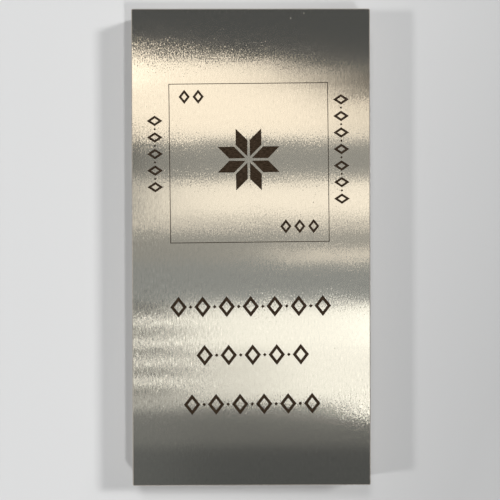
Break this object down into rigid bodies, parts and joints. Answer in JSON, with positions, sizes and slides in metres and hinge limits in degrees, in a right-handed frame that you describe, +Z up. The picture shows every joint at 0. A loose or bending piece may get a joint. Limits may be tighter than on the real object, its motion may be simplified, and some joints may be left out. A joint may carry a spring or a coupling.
{
  "type": "titanium bar",
  "caption": "Flat rectangular bar of solid titanium with brushed faces and lightly broken edges, sized to weigh one pound.",
  "frame": {"origin": "middle of the large face that the bar lies on", "axes": "+X across the width, +Y along the length, which is also the way the brushing runs, +Z up through the thickness to the marked face"},
  "size_m": [0.0636, 0.127, 0.0125],
  "materials": {
    "brushed_titanium": "satin"
  },
  "bodies": {
    "root": {"bar": "brushed_titanium"}
  },
  "joints": []
}
